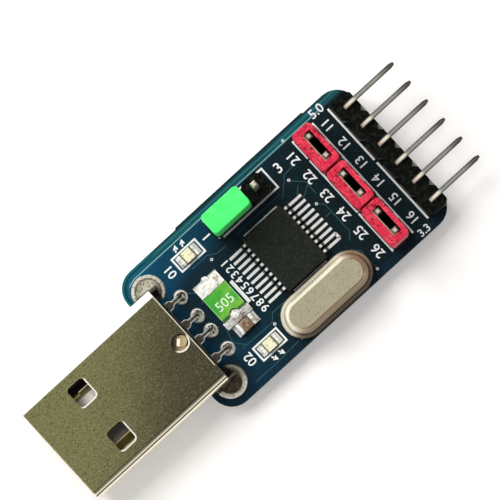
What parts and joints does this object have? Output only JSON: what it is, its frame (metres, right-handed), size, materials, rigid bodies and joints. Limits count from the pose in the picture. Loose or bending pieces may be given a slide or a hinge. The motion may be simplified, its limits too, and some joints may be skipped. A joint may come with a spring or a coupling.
{
  "type": "usb to serial adapter module",
  "caption": "Small circuit board that joins a USB plug to a row of bent serial pins, with jumper caps on pin headers, an interface chip and a crystal.",
  "frame": {"origin": "centre of the bottom of the bounding box, level with the ends of the soldered pin tails", "axes": "+X from the plug's mouth to the tips of the bent pins, +Y across the board towards the header with the green cap, +Z from the solder side up to the component side"},
  "size_m": [0.0514, 0.0178, 0.0122],
  "materials": {
    "board_blue": "dark blue solder mask over glass fibre",
    "plug_steel": "nickel-plated steel, slightly warm",
    "cream_plastic": "moulded insulator",
    "gilt_contact": "gilt",
    "tinned_pin": "tinned brass wire",
    "solder": "bright solder",
    "black_plastic": "moulded, satin",
    "red_plastic": "moulded",
    "green_plastic": "moulded, slightly translucent",
    "chip_black": "moulded epoxy with tinned leads",
    "can_steel": "nickel-plated, warm",
    "fuse_green": "printed coating",
    "ceramic_tan": "sintered",
    "lamp_lens": "milky epoxy lens"
  },
  "bodies": {
    "root": {"circuit_board": "board_blue", "plug_shell": "plug_steel", "plug_insulator": "cream_plastic", "plug_contact_1": "gilt_contact", "plug_contact_2": "gilt_contact", "plug_contact_3": "gilt_contact", "plug_contact_4": "gilt_contact", "shield_solder_upper": "solder", "shield_solder_lower": "solder", "edge_header_block": "black_plastic", "edge_pin_1": "tinned_pin", "edge_pin_2": "tinned_pin", "edge_pin_3": "tinned_pin", "edge_pin_4": "tinned_pin", "edge_pin_5": "tinned_pin", "edge_pin_6": "tinned_pin", "jumper_header_block": "black_plastic", "jumper_pin_1": "tinned_pin", "jumper_pin_2": "tinned_pin", "jumper_pin_3": "tinned_pin", "jumper_pin_4": "tinned_pin", "jumper_pin_5": "tinned_pin", "jumper_pin_6": "tinned_pin", "mode_header_block": "black_plastic", "mode_pin_1": "tinned_pin", "mode_pin_2": "tinned_pin", "mode_pin_3": "tinned_pin", "red_jumper_cap_1": "red_plastic", "red_jumper_cap_2": "red_plastic", "red_jumper_cap_3": "red_plastic", "red_jumper_clip_1": "tinned_pin", "red_jumper_clip_2": "tinned_pin", "red_jumper_clip_3": "tinned_pin", "green_jumper_cap": "green_plastic", "green_jumper_clip": "tinned_pin", "interface_chip": "chip_black", "crystal_can": "can_steel", "crystal_base": "can_steel", "crystal_lead_1": "tinned_pin", "crystal_lead_2": "tinned_pin", "fuse_body": "fuse_green", "fuse_terminal_upper": "solder", "fuse_terminal_lower": "solder", "capacitor_body": "ceramic_tan", "capacitor_terminal_rear": "solder", "capacitor_terminal_front": "solder", "lamp_upper_body": "lamp_lens", "lamp_upper_terminal_rear": "solder", "lamp_upper_terminal_front": "solder", "lamp_lower_body": "lamp_lens", "lamp_lower_terminal_rear": "solder", "lamp_lower_terminal_front": "solder"}
  },
  "joints": []
}
